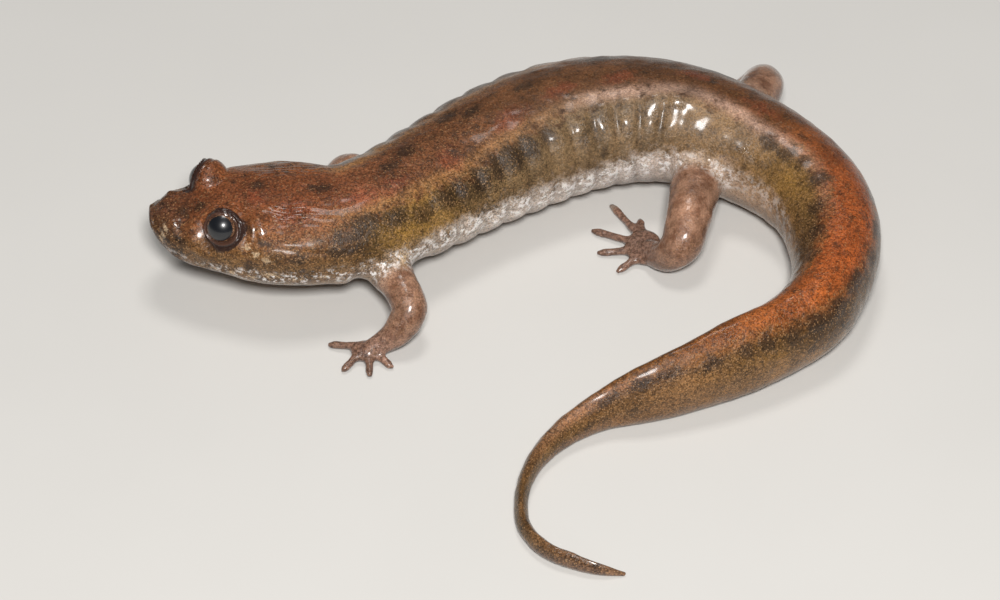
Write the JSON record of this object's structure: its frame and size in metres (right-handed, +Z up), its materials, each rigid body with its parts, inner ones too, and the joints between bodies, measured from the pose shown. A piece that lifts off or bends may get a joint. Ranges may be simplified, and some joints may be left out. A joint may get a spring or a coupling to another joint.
{
  "type": "dusky salamander model",
  "caption": "Life-size salamander lying in a C-shaped curl, head raised, legs bent and tail tip hooked back, resting flat on its belly and tail.",
  "frame": {"origin": "on the floor, under the middle of the bounding box", "axes": "+Z up, the head points to -X, and the left side of the body, inside the curl, faces -Y"},
  "size_m": [0.047, 0.0456, 0.0082],
  "materials": {
    "head_skin": "wet skin, brown with fine golden specks",
    "body_skin": "wet skin, chestnut back and dark mottled sides",
    "tail_skin": "wet skin, rusty back and dark blotched sides",
    "leg_skin": "wet skin, pinkish brown",
    "foot_skin": "moist skin, pinkish grey",
    "eye": "polished, black pupil with a thin coppery ring"
  },
  "bodies": {
    "root": {"head": "head_skin", "neck": "body_skin", "chest": "body_skin", "belly": "body_skin", "hips": "body_skin", "tail_root": "tail_skin", "tail_middle": "tail_skin", "tail_end": "tail_skin", "tail_hook": "tail_skin", "tail_tip": "tail_skin", "left_eye": "eye", "right_eye": "eye", "left_fore_upper": "leg_skin", "left_fore_lower": "leg_skin", "left_fore_foot": "foot_skin", "right_fore_upper": "leg_skin", "right_fore_lower": "leg_skin", "right_fore_foot": "foot_skin", "left_hind_upper": "leg_skin", "left_hind_lower": "leg_skin", "left_hind_foot": "foot_skin", "right_hind_upper": "leg_skin", "right_hind_lower": "leg_skin", "right_hind_foot": "foot_skin"}
  },
  "joints": []
}
